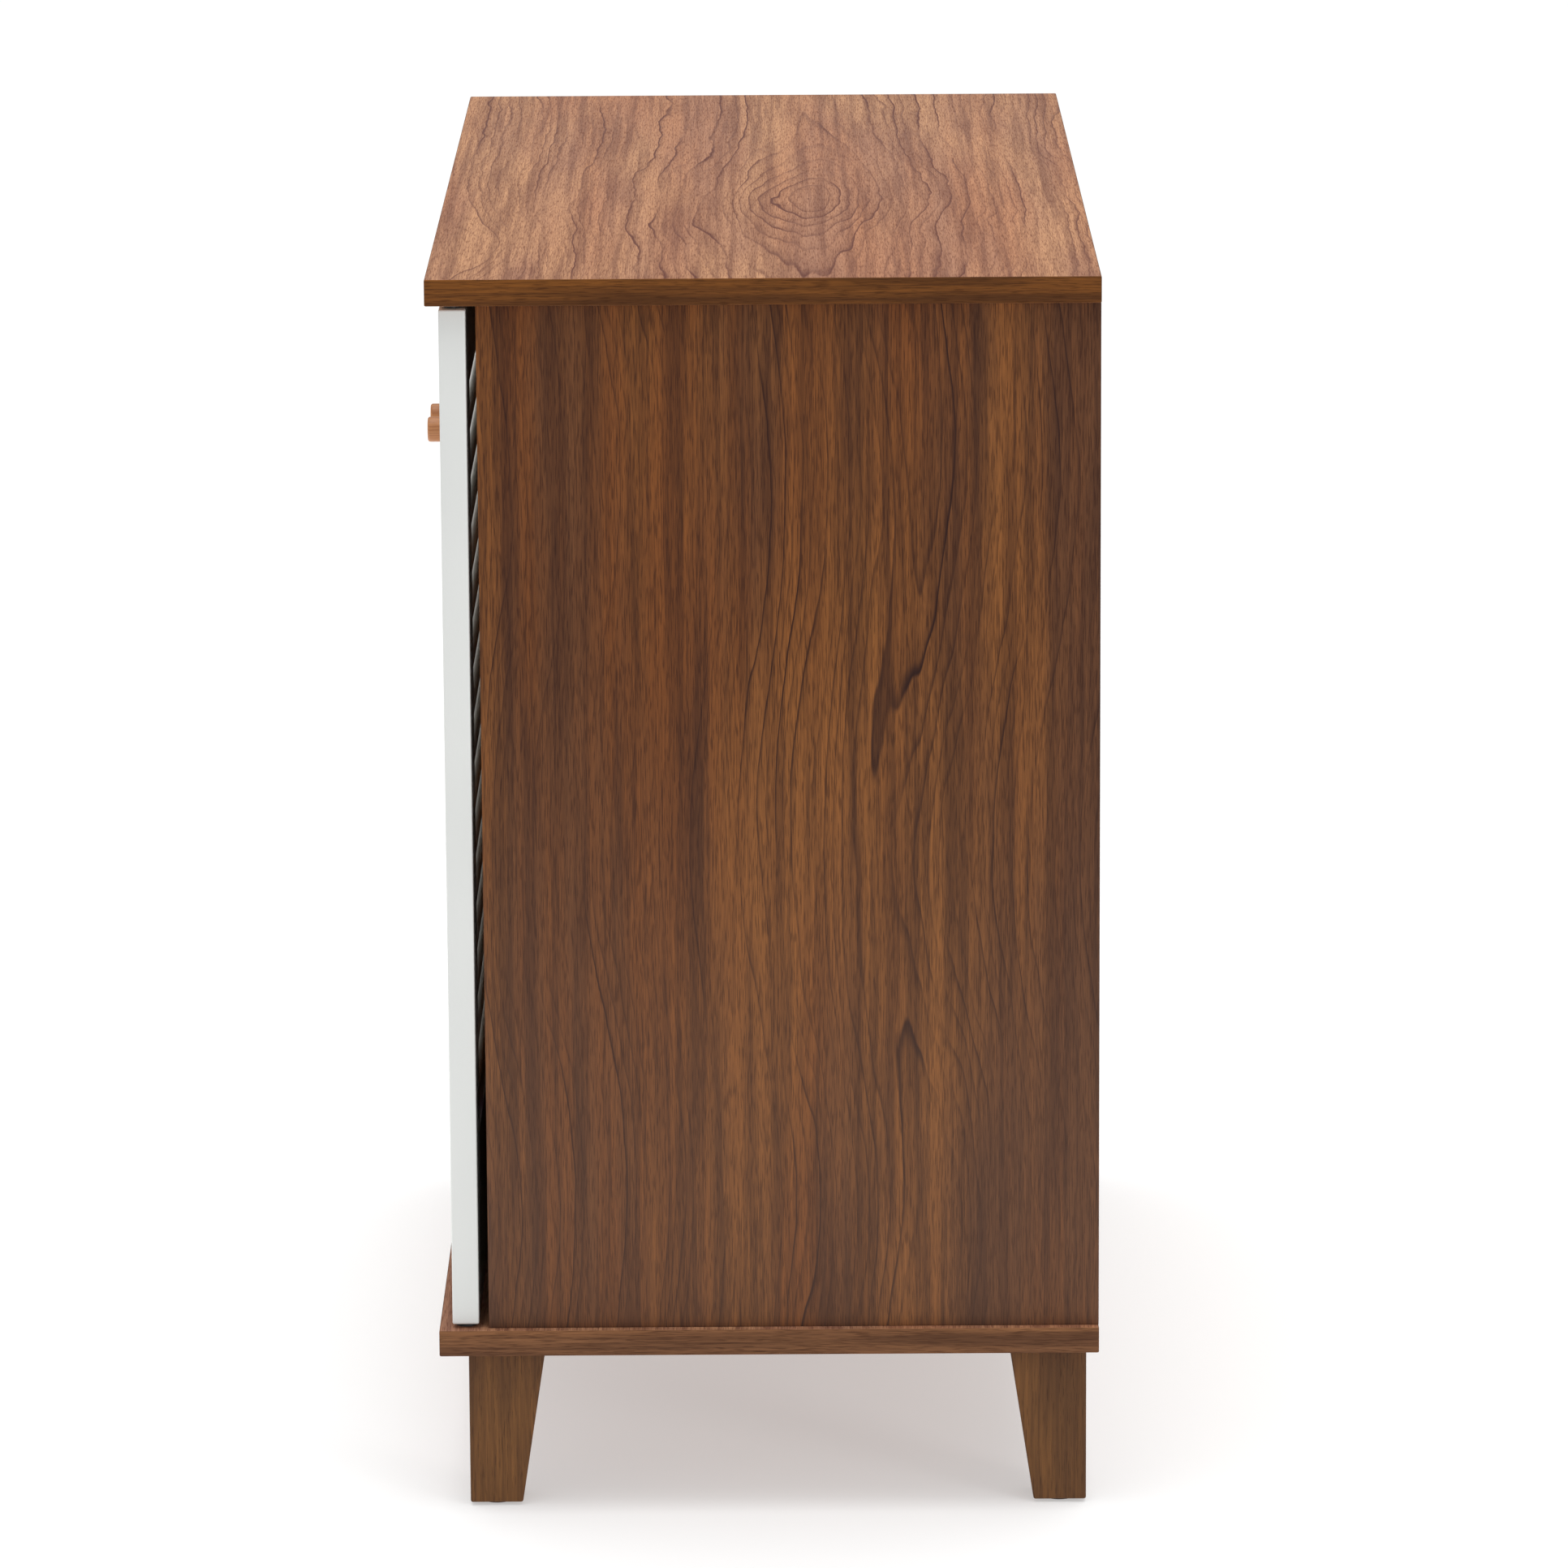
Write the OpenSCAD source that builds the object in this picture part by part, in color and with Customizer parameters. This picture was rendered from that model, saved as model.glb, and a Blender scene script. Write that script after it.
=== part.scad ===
// Free-standing two-door shoe cabinet with louvred doors.
// Veneered panels, painted frame-and-slat doors on pivot pins, four tapered wooden legs.
// Millimetres. +Z is up, the doors face -Y, the width runs along X.
// The origin is on the floor, under the centre of the cabinet with its knobs.

/* [Cabinet] */
// Width over the top and bottom panels
cab_w = 800; // [640:10:1000]
// Depth of the top and bottom panels
cab_d = 400; // [320:10:500]
// Height from the floor to the top surface
cab_h = 760; // [600:10:1000]
// Height from the floor to the underside of the bottom panel
leg_h = 100; // [70:5:160]

/* [Panels] */
// Thickness of the top, bottom and side panels
panel_t = 16; // [15:1:22]
// How far the top and bottom panels overhang the side panels
side_inset = 6; // [0:1:15]
// Thickness of the hardboard back
back_t = 3; // [2.5:0.5:5]
// Width of the rebate that holds the back
rebate_w = 8; // [6:1:10]
// Thickness of a shelf
shelf_t = 12; // [10:1:18]
// Distance from the side panels' front edge to a shelf's front edge
shelf_setback = 5; // [2:1:60]

/* [Doors] */
// Thickness of a door
door_t = 16; // [14:1:22]
// Distance from the front edge of the top panel to the front of the doors
door_setback = 8; // [2:1:14]
// Gap between a closed door and the edge of its side panel
door_gap = 6; // [5:0.5:12]
// Gap above a door
door_gap_top = 3; // [2.5:0.5:6]
// Gap below a door
door_gap_bottom = 2.5; // [2.5:0.5:6]
// Gap where the two doors meet
meeting_gap = 3; // [2:0.5:6]
// Width of a stile
stile_w = 55; // [45:1:70]
// Height of the top rail
top_rail_h = 49; // [40:1:80]
// Height of the bottom rail
bottom_rail_h = 108; // [60:1:160]
// Distance from the outer edge of a door to its pivot
pivot_edge = 10; // [9:0.5:11]

/* [Louvres] */
// Wanted distance between slats
slat_pitch = 29.2; // [24:0.1:45]
// Slope of the slats from the horizontal, their front edge low
slat_tilt = 65; // [45:1:66]
// Thickness of a slat
slat_t = 6; // [4:0.5:7]
// How far a slat is let into each stile
slat_tenon = 5; // [3:0.5:8]
// How far the edges of a slat stay inside the faces of the door
slat_inset = 0.25; // [0:0.05:2]

/* [Knobs] */
// Length of a knob in front of the door
knob_len = 22.5; // [18:0.5:35]
// Diameter of a knob
knob_d = 16; // [14:1:24]
// Distance from the meeting edge of a door to its knob
knob_edge = 23; // [16:1:30]
// Distance from the top of a door to its knob
knob_drop = 136.5; // [80:0.5:300]

/* [Legs] */
// Width of a leg at the top
leg_top = 47; // [38:1:60]
// Width of a leg at the foot
leg_foot = 32; // [24:1:38]
// Distance from the end of the bottom panel to a leg
leg_inset_x = 18; // [6:1:60]
// Distance from the front edge of the bottom panel to a front leg
leg_inset_front = 17; // [4:1:60]
// Distance from the back edge of the bottom panel to a back leg
leg_inset_back = 7; // [4:1:60]

/* [Hardware] */
// Diameter of a pivot pin
pivot_d = 6; // [5:0.5:8]
// Diameter of a cam lock
cam_d = 15; // [12:1:16]
// Distance from the end of a side panel to the centre of its cam locks
cam_reach = 34; // [24:1:40]
// Diameter of the dowels
dowel_d = 8; // [6:1:8]
// Length of the dowels between the panels
dowel_len = 30; // [24:1:32]
// Diameter of the peg of a shelf pin
shelf_pin_d = 5; // [4:0.5:6]
// Diameter of the bolt in a leg
leg_bolt_d = 8; // [6:1:10]

/* [Hidden] */
LEFT = -1;
RIGHT = 1;
FRONT = -1;
BACK = 1;
$fn = 48;

// Colours
WALNUT = "#8a5a3e";
DARK_WALNUT = "#7b4d36";
LEG_WOOD = "#6b4a2c";
WHITE_PAINT = "#e9ebe8";
KNOB_WOOD = "#c07a4a";
STEEL = "silver";

// Clearances
fit = 0.05;          // between a fixed piece and its hole
run_fit = 0.05;      // between a pivot pin and its bush
play = 1;            // around a shelf or the back panel
eps = 0.5;           // how far a cutter runs past a face

// Depth positions
knob_proud = knob_len - door_setback;
front_y = -(cab_d + knob_proud) / 2 + knob_proud;
back_y = front_y + cab_d;
door_front_y = front_y + door_setback;
door_back_y = door_front_y + door_t;
door_mid_y = door_front_y + door_t / 2;
side_front_y = door_back_y + door_gap;

// Heights
bottom_top_z = leg_h + panel_t;
top_under_z = cab_h - panel_t;
side_h = top_under_z - bottom_top_z;
door_z0 = bottom_top_z + door_gap_bottom;
door_z1 = top_under_z - door_gap_top;

// Widths
side_out_x = cab_w / 2 - side_inset;
side_mid_x = side_out_x - panel_t / 2;
side_in_x = side_out_x - panel_t;
meet_x = meeting_gap / 2;
stile_hinge_x = side_out_x - stile_w;
stile_meet_x = meet_x + stile_w;

// Back, its rebate and its nails
nail_d = 1.6;
nail_len = 16;
nail_head_d = 3.6;
nail_head_t = 0.8;
nail_head_recess = 0.2;
nail_overlap = 0.5;
nail_spacing = 150;
rebate_d = back_t + nail_head_t + nail_head_recess;
rebate_y = back_y - rebate_d;
rebate_x = side_in_x + rebate_w;
nail_slab_count = max(3, round(2 * side_in_x / nail_spacing));
nail_side_count = max(3, round(side_h / nail_spacing));
nail_slab_step = 2 * side_in_x / nail_slab_count;
nail_side_step = side_h / nail_side_count;

// Shelves and their pins
shelf_count = 3;
shelf_w = 2 * (side_in_x - play);
shelf_front_y = side_front_y + shelf_setback;
shelf_step = (side_h - shelf_count * shelf_t) / (shelf_count + 1) + shelf_t;
shelf_hole_step = 32;
shelf_hole_depth = 10;
shelf_pin_in = 9;
shelf_pin_inset = 45;
shelf_pin_rows = [shelf_front_y + shelf_pin_inset, rebate_y - shelf_pin_inset];
tab_t = 2;
tab_w = 9;
tab_len = 8;
collar_t = 1.5;
collar_d = 9;

// Underside of shelf number i, counted from the lowest
function shelf_z(i) = bottom_top_z + i * shelf_step - shelf_t;

// Middle of the holes for the pins of shelf number i
function shelf_pin_z(i) = shelf_z(i) - tab_t - shelf_pin_d / 2;

// Corner joints between the side panels and the top and bottom panels
joint_edge = 55;
joint_spacing = 32;
post_rows = [side_front_y + joint_edge, back_y - joint_edge];
dowel_rows = [side_front_y + joint_edge + joint_spacing, back_y - joint_edge - joint_spacing];
dowel_in_slab = 10;
cam_t = 12.5;
cam_pocket_d = 7.4;
cam_pocket_end = 4;
post_bore_d = 8;
post_screw_d = 7;
post_screw_len = 11;
post_shank_d = 5;
post_head_d = 6;
post_head_t = 3;
post_collar_d = 7.4;
post_collar_t = 3;
post_tip = 2;
recess_w = 1.6;
recess_depth = 1.5;
recess_len = cam_d * 0.64;

// Legs and their hardware
leg_out_x = cab_w / 2 - leg_inset_x;
leg_bolt_in = 36;
leg_bolt_end = 1;
insert_wall = 2;
insert_d = leg_bolt_d + 2 * insert_wall;
insert_len = panel_t - 3;
glide_t = 2;
glide_d = 20;
glide_nail_d = 2.5;
glide_nail_len = 14;

// Pivots
pivot_x = side_out_x - pivot_edge;
bush_wall = 1.5;
bush_d = pivot_d + 2 * (run_fit + bush_wall);
bush_flange_d = bush_d + 3;
bush_flange_t = 2;
bush_depth = 12;
pin_out = 11;
pin_hole = 25;
pin_len = pin_out + pin_hole;

// Door joints: two dowels hold each end of each rail.
rail_dowel_in = 18;
rail_dowel_zs = [
    door_z1 - top_rail_h * 0.28, door_z1 - top_rail_h * 0.75,
    door_z0 + bottom_rail_h * 0.2, door_z0 + bottom_rail_h * 0.7
];

// Knobs
knob_x = meet_x + knob_edge;
knob_z = door_z1 - knob_drop;
knob_foot_r = knob_d * 0.36;
knob_foot_t = 2;
knob_head_len = knob_len * 0.6;
knob_rim_r = 1.6;
knob_screw_d = 4;
knob_screw_in = 12;
knob_screw_head_d = 8;
knob_screw_head_t = 2.2;

// Small screws of the catch and the strike plates
screw_d = 3;
screw_head_d = 5.6;
screw_head_t = 1.6;
screw_recess_w = 0.8;
screw_recess_depth = 0.8;
catch_screw_in = 10;
strike_screw_len = 12;
strike_sink = 0.4;

// Magnetic catch under the top panel, and the strike plates on the doors
catch_w = 70;
catch_h = 14;
catch_d = 20;
catch_ear_w = 8;
catch_ear_t = 3;
magnet_x = 17.5;
magnet_w = 18;
magnet_h = 8;
magnet_depth = 10;
magnet_proud = 0.6;
strike_w = 22;
strike_h = 12;
strike_t = 1.2;
strike_drop = 10;
strike_z = door_z1 - strike_drop;
strike_gap = 0.5;
catch_front_y = door_back_y + strike_t + strike_gap + magnet_proud;
catch_mid_y = catch_front_y + catch_d / 2;
catch_back_y = catch_front_y + catch_d;
catch_screw_x = (catch_w - catch_ear_w) / 2;

// Louvres: the slats fill the opening evenly, the first and last one close to a rail.
slat_end_gap = 0.5;
slat_play = 0.2;
slat_flat = (door_t - 2 * slat_inset - slat_t) / cos(slat_tilt);
slat_rise = slat_flat * sin(slat_tilt) + slat_t;
louvre_z0 = door_z0 + bottom_rail_h;
louvre_z1 = door_z1 - top_rail_h;
slat_first_z = louvre_z0 + slat_end_gap + slat_rise / 2;
slat_room_z = louvre_z1 - slat_end_gap - slat_rise / 2 - slat_first_z;
slat_count = max(2, round(slat_room_z / slat_pitch) + 1);
slat_step = slat_room_z / (slat_count - 1);

// ---------------------------------------------------------------- helpers

// Draws its children on the right side as written, on the left side mirrored.
module on_side(side) {
    mirror([side == LEFT ? 1 : 0, 0, 0]) children();
}

module on_both_sides() {
    for (side = [LEFT, RIGHT]) on_side(side) children();
}

// Places its children at the inner faces of the top and bottom panels, with +Z into each panel.
module at_inner_faces() {
    translate([0, 0, top_under_z]) children();
    translate([0, 0, bottom_top_z]) mirror([0, 0, 1]) children();
}

module block(x0, x1, y0, y1, z0, z1) {
    translate([x0, y0, z0]) cube([x1 - x0, y1 - y0, z1 - z0]);
}

// A cylinder that lies along +Y from its position
module rod_y(d, len) {
    rotate([-90, 0, 0]) cylinder(d = d, h = len);
}

// A cylinder that lies along +X from its position
module rod_x(d, len) {
    rotate([0, 90, 0]) cylinder(d = d, h = len);
}

// Cuts a hole along +Z, from just before the plane z = 0 to a depth.
module hole(d, depth) {
    translate([0, 0, -eps]) cylinder(d = d + 2 * fit, h = depth + fit + eps);
}

// Cross recess that reaches from the plane z = 0 up to a depth
module cross_recess(w, len, depth) {
    for (turn = [0, 90]) rotate([0, 0, turn])
        block(-w / 2, w / 2, -len / 2, len / 2, -eps, depth);
}

// ---------------------------------------------------------------- panels

module at_posts() {
    on_both_sides() for (y = post_rows) translate([side_mid_x, y, 0]) children();
}

module at_dowels() {
    on_both_sides() for (y = dowel_rows) translate([side_mid_x, y, 0]) children();
}

// Nails of the back: those in a top or bottom panel, placed from its inner face
module at_slab_nails() {
    for (i = [0.5:nail_slab_count]) translate([-side_in_x + i * nail_slab_step, rebate_y, rebate_w / 2])
        children();
}

// Nails of the back: those in the right side panel
module at_side_nails() {
    for (i = [0.5:nail_side_count])
        translate([side_in_x + rebate_w / 2, rebate_y, bottom_top_z + i * nail_side_step]) children();
}

// Hole for a nail, from the rebate forwards
module nail_hole() {
    rotate([90, 0, 0]) hole(nail_d, nail_len);
}

// Blank of the top and bottom panels: its inner face is the plane z = 0.
module slab() {
    difference() {
        block(-cab_w / 2, cab_w / 2, front_y, back_y, 0, panel_t);
        block(-rebate_x, rebate_x, rebate_y, back_y + eps, -eps, rebate_w);
        at_posts() hole(post_screw_d, post_screw_len);
        at_dowels() hole(dowel_d, dowel_in_slab);
        on_both_sides() translate([pivot_x, door_mid_y, 0]) hole(bush_d, bush_depth);
        at_slab_nails() nail_hole();
    }
}

module top_panel() {
    color(WALNUT) translate([0, 0, top_under_z]) difference() {
        slab();
        on_both_sides() translate([catch_screw_x, catch_mid_y, 0]) hole(screw_d, catch_screw_in);
    }
}

module bottom_panel() {
    color(WALNUT) difference() {
        translate([0, 0, bottom_top_z]) mirror([0, 0, 1]) slab();
        at_leg_axes() hole(insert_d, insert_len);
    }
}

module side_panel(side) {
    color(DARK_WALNUT) on_side(side) difference() {
        block(side_in_x, side_out_x, side_front_y, back_y, bottom_top_z, top_under_z);
        block(side_in_x - eps, rebate_x, rebate_y, back_y + eps, bottom_top_z - eps, top_under_z + eps);
        at_inner_faces() mirror([0, 0, 1]) {
            for (y = post_rows) {
                translate([side_mid_x, y, 0]) hole(post_bore_d, cam_reach + post_tip);
                translate([side_in_x, y, cam_reach]) rotate([0, 90, 0]) hole(cam_d, cam_t);
            }
            for (y = dowel_rows) translate([side_mid_x, y, 0]) hole(dowel_d, dowel_len - dowel_in_slab);
        }
        // Rows of holes that let each shelf be moved up or down a step
        for (i = [1:shelf_count], y = shelf_pin_rows, step = [-1, 0, 1])
            translate([side_in_x, y, shelf_pin_z(i) + step * shelf_hole_step]) rotate([0, 90, 0])
                hole(shelf_pin_d, shelf_hole_depth);
        at_side_nails() nail_hole();
    }
}

module back_panel() {
    color("#6f5a48") difference() {
        block(-rebate_x + play / 2, rebate_x - play / 2, rebate_y, rebate_y + back_t,
            bottom_top_z - rebate_w + play / 2, top_under_z + rebate_w - play / 2);
        at_nails() rotate([-90, 0, 0]) hole(nail_d, back_t + eps);
    }
}

// ---------------------------------------------------------------- shelves

module shelf(i) {
    color(WALNUT) block(-shelf_w / 2, shelf_w / 2, shelf_front_y, rebate_y - play,
        shelf_z(i), shelf_z(i) + shelf_t);
}

// A peg in the side panel, a collar against it and a flat tab that the shelf rests on
module shelf_pin() {
    translate([-collar_t, 0, 0]) rod_x(shelf_pin_d, collar_t + shelf_pin_in);
    intersection() {
        translate([-collar_t, 0, 0]) rod_x(collar_d, collar_t);
        block(-collar_t, 0, -collar_d, collar_d, -collar_d, shelf_pin_d / 2 + tab_t);
    }
    block(-tab_len, 0, -tab_w / 2, tab_w / 2, shelf_pin_d / 2, shelf_pin_d / 2 + tab_t);
}

module shelf_pins() {
    color(STEEL) on_both_sides() for (i = [1:shelf_count], y = shelf_pin_rows)
        translate([side_in_x, y, shelf_pin_z(i)]) shelf_pin();
}

// ---------------------------------------------------------------- carcass hardware

// Places its children at every nail of the back.
module at_nails() {
    at_inner_faces() at_slab_nails() children();
    on_both_sides() at_side_nails() children();
}

module back_nails() {
    color(STEEL) at_nails() translate([0, back_t, 0]) {
        translate([0, nail_overlap - nail_len, 0]) rod_y(nail_d, nail_len);
        rod_y(nail_head_d, nail_head_t);
    }
}

// Cam disc with a cross recess in its face and a pocket for the head of the post
module cam_lock() {
    difference() {
        rod_x(cam_d, cam_t);
        rotate([0, 90, 0]) cross_recess(recess_w, recess_len, recess_depth);
        translate([panel_t / 2, 0, -cam_pocket_end]) cylinder(d = cam_pocket_d, h = cam_d);
    }
}

module cam_locks() {
    color(STEEL) at_inner_faces() on_both_sides() for (y = post_rows)
        translate([side_in_x, y, -cam_reach]) cam_lock();
}

// Steel post: a coarse screw in the panel, a collar, and a thin shank with a head that the cam grips
module cam_post() {
    cylinder(d = post_screw_d, h = post_screw_len - fit);
    translate([0, 0, -1 - post_collar_t]) cylinder(d = post_collar_d, h = post_collar_t);
    translate([0, 0, -cam_reach]) cylinder(d = post_shank_d, h = cam_reach);
    translate([0, 0, -cam_reach - post_tip]) cylinder(d = post_head_d, h = post_head_t);
}

module cam_posts() {
    color(STEEL) at_inner_faces() at_posts() cam_post();
}

module panel_dowels() {
    color("burlywood") at_inner_faces() at_dowels() translate([0, 0, dowel_in_slab - dowel_len])
        cylinder(d = dowel_d, h = dowel_len);
}

// ---------------------------------------------------------------- legs

// Places its children at a leg's outer corner, with +X and +Y pointing inwards.
module at_leg(side, end) {
    corner_y = end == FRONT ? front_y + leg_inset_front : back_y - leg_inset_back;
    on_side(side) translate([leg_out_x, corner_y, 0])
        mirror([1, 0, 0]) mirror([0, end == BACK ? 1 : 0, 0]) children();
}

module at_legs() {
    for (side = [LEFT, RIGHT], end = [FRONT, BACK]) at_leg(side, end) children();
}

// Places its children on the axis of each leg's bolt, at the underside of the bottom panel.
module at_leg_axes() {
    at_legs() translate([leg_top / 2, leg_top / 2, leg_h]) children();
}

// A prism that tapers along one direction: the outer face is upright, the inner one slants.
module leg_prism() {
    translate([0, leg_top, 0]) rotate([90, 0, 0]) linear_extrude(leg_top)
        polygon([[0, glide_t], [leg_foot, glide_t], [leg_top, leg_h], [0, leg_h]]);
}

module leg(side, end) {
    color(LEG_WOOD) at_leg(side, end) difference() {
        intersection() {
            leg_prism();
            mirror([1, -1, 0]) leg_prism();
        }
        translate([leg_top / 2, leg_top / 2, leg_h]) mirror([0, 0, 1]) hole(leg_bolt_d, leg_bolt_in);
        translate([leg_foot / 2, leg_foot / 2, glide_t]) hole(glide_nail_d, glide_nail_len);
    }
}

module leg_inserts() {
    color(STEEL) at_leg_axes() difference() {
        cylinder(d = insert_d, h = insert_len);
        hole(leg_bolt_d, insert_len + eps);
    }
}

module leg_bolts() {
    color(STEEL) at_leg_axes() translate([0, 0, -leg_bolt_in])
        cylinder(d = leg_bolt_d, h = leg_bolt_in + insert_len - leg_bolt_end);
}

module leg_glides() {
    color("#2c2a28") at_legs() translate([leg_foot / 2, leg_foot / 2, 0]) {
        cylinder(d = glide_d, h = glide_t);
        cylinder(d = glide_nail_d, h = glide_t + glide_nail_len);
    }
}

// ---------------------------------------------------------------- pivots and catch

// Flanged bush: its sleeve sits in a top or bottom panel, its flange shows below or above the door.
module pivot_bushes() {
    color("#1d1c1b") at_inner_faces() on_both_sides() translate([pivot_x, door_mid_y, 0]) difference() {
        union() {
            translate([0, 0, -bush_flange_t]) cylinder(d = bush_flange_d, h = bush_flange_t);
            cylinder(d = bush_d, h = bush_depth);
        }
        translate([0, 0, -bush_flange_t - eps])
            cylinder(d = pivot_d + 2 * run_fit, h = bush_flange_t + bush_depth + 2 * eps);
    }
}

// Body with two magnet pockets in its front and a thin screw ear at each end
module catch_housing() {
    body_x = catch_w / 2 - catch_ear_w;
    pocket_w = magnet_w + 2 * fit;
    pocket_h = magnet_h + 2 * fit;
    color("#3a332d") difference() {
        union() {
            block(-body_x, body_x, catch_front_y, catch_back_y, top_under_z - catch_h, top_under_z);
            block(-catch_w / 2, catch_w / 2, catch_front_y, catch_back_y,
                top_under_z - catch_ear_t, top_under_z);
        }
        on_both_sides() {
            translate([magnet_x - pocket_w / 2, catch_front_y - eps, strike_z - pocket_h / 2])
                cube([pocket_w, magnet_depth + fit + eps, pocket_h]);
            translate([catch_screw_x, catch_mid_y, top_under_z - catch_ear_t])
                hole(screw_d, catch_ear_t + eps);
        }
    }
}

module catch_magnets() {
    color("dimgray") on_both_sides()
        translate([magnet_x - magnet_w / 2, catch_front_y - magnet_proud, strike_z - magnet_h / 2])
        cube([magnet_w, magnet_depth + magnet_proud, magnet_h]);
}

// Pan-headed screws that point up into the top panel
module catch_screws() {
    color(STEEL) on_both_sides() translate([catch_screw_x, catch_mid_y, top_under_z - catch_ear_t]) {
        cylinder(d = screw_d, h = catch_ear_t + catch_screw_in);
        translate([0, 0, -screw_head_t]) difference() {
            cylinder(d = screw_head_d, h = screw_head_t);
            cross_recess(screw_recess_w, screw_head_d * 0.6, screw_recess_depth);
        }
    }
}

// ---------------------------------------------------------------- doors, drawn on the right side

// Cross-section of a slat, its edges round and its front edge lower than the back one
module slat_section(grow) {
    rotate(slat_tilt) {
        square([slat_flat, slat_t + 2 * grow], center = true);
        for (end = [FRONT, BACK]) translate([end * slat_flat / 2, 0]) circle(d = slat_t + 2 * grow);
    }
}

// Slats between two X positions, for the slats themselves and for their housings in the stiles
module slat_run(x0, x1, grow) {
    for (i = [0:slat_count - 1]) translate([x0, door_mid_y, slat_first_z + i * slat_step])
        rotate([90, 0, 90]) linear_extrude(x1 - x0) slat_section(grow);
}

module rail_dowel_holes(joint_x) {
    for (z = rail_dowel_zs) translate([joint_x - rail_dowel_in - fit, door_mid_y, z])
        rod_x(dowel_d + 2 * fit, 2 * (rail_dowel_in + fit));
}

module hinge_stile(side) {
    color(WHITE_PAINT) on_side(side) difference() {
        block(stile_hinge_x, side_out_x, door_front_y, door_back_y, door_z0, door_z1);
        slat_run(stile_hinge_x - eps, stile_hinge_x + slat_tenon, fit);
        rail_dowel_holes(stile_hinge_x);
        translate([pivot_x, door_mid_y, door_z0]) hole(pivot_d, pin_hole);
        translate([pivot_x, door_mid_y, door_z1]) mirror([0, 0, 1]) hole(pivot_d, pin_hole);
    }
}

module meeting_stile(side) {
    color(WHITE_PAINT) on_side(side) difference() {
        block(meet_x, stile_meet_x, door_front_y, door_back_y, door_z0, door_z1);
        slat_run(stile_meet_x - slat_tenon, stile_meet_x + eps, fit);
        rail_dowel_holes(stile_meet_x);
        translate([knob_x, door_front_y, knob_z]) rotate([-90, 0, 0]) hole(knob_screw_d, door_t + eps);
        translate([magnet_x, door_back_y, strike_z]) rotate([90, 0, 0]) hole(screw_d, strike_screw_len);
    }
}

module rail(side, z0, z1) {
    color(WHITE_PAINT) on_side(side) difference() {
        block(stile_meet_x, stile_hinge_x, door_front_y, door_back_y, z0, z1);
        rail_dowel_holes(stile_meet_x);
        rail_dowel_holes(stile_hinge_x);
    }
}

module slats(side) {
    reach = slat_tenon - slat_play;
    color(WHITE_PAINT) on_side(side) slat_run(stile_meet_x - reach, stile_hinge_x + reach, 0);
}

module rail_dowels(side) {
    color("burlywood") on_side(side) for (joint_x = [stile_meet_x, stile_hinge_x], z = rail_dowel_zs)
        translate([joint_x - rail_dowel_in, door_mid_y, z]) rod_x(dowel_d, 2 * rail_dowel_in);
}

// A pin is fast in the door and turns in the bush of the panel.
module pivot_pins(side) {
    color(STEEL) on_side(side) at_inner_faces() translate([pivot_x, door_mid_y, pin_out - pin_len])
        cylinder(d = pivot_d, h = pin_len);
}

// Outline of a turned knob: a narrow foot against the door, a flare, and a head with a rounded rim
module knob_outline() {
    head_r = knob_d / 2;
    shoulder = knob_len - knob_rim_r;
    polygon([[0, 0], [knob_foot_r, 0], [knob_foot_r, knob_foot_t], [head_r, knob_len - knob_head_len],
        [head_r, shoulder], [0, shoulder]]);
    translate([0, shoulder]) square([head_r - knob_rim_r, knob_rim_r]);
    translate([head_r - knob_rim_r, shoulder]) intersection() {
        circle(r = knob_rim_r);
        square(knob_rim_r);
    }
}

module knob(side) {
    color(KNOB_WOOD) on_side(side) translate([knob_x, door_front_y, knob_z]) rotate([90, 0, 0]) difference() {
        rotate_extrude() knob_outline();
        hole(knob_screw_d, knob_screw_in);
    }
}

// Machine screw from the back of the stile into the knob
module knob_screw(side) {
    color(STEEL) on_side(side) translate([knob_x, door_back_y, knob_z]) rotate([90, 0, 0]) {
        cylinder(d = knob_screw_d, h = door_t + knob_screw_in);
        translate([0, 0, -knob_screw_head_t]) difference() {
            cylinder(d = knob_screw_head_d, h = knob_screw_head_t);
            cross_recess(screw_recess_w, knob_screw_head_d * 0.6, screw_recess_depth);
        }
    }
}

// Steel plate on the back of the door, with a countersunk hole
module strike_plate(side) {
    bore_d = screw_d + 2 * fit;
    color(STEEL) on_side(side) translate([magnet_x, door_back_y, strike_z]) rotate([-90, 0, 0]) difference() {
        block(-strike_w / 2, strike_w / 2, -strike_h / 2, strike_h / 2, 0, strike_t);
        translate([0, 0, -eps]) cylinder(d = bore_d, h = strike_t + 2 * eps);
        translate([0, 0, strike_t / 4]) cylinder(d1 = bore_d, d2 = bore_d + 2 * strike_t, h = strike_t);
    }
}

module strike_screw(side) {
    color(STEEL) on_side(side) translate([magnet_x, door_back_y, strike_z]) rotate([-90, 0, 0]) {
        translate([0, 0, -strike_screw_len]) cylinder(d = screw_d, h = strike_screw_len + strike_t);
        translate([0, 0, strike_sink])
            cylinder(d1 = screw_d, d2 = screw_d + strike_t, h = strike_t - strike_sink);
    }
}

// ---------------------------------------------------------------- nodes

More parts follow.
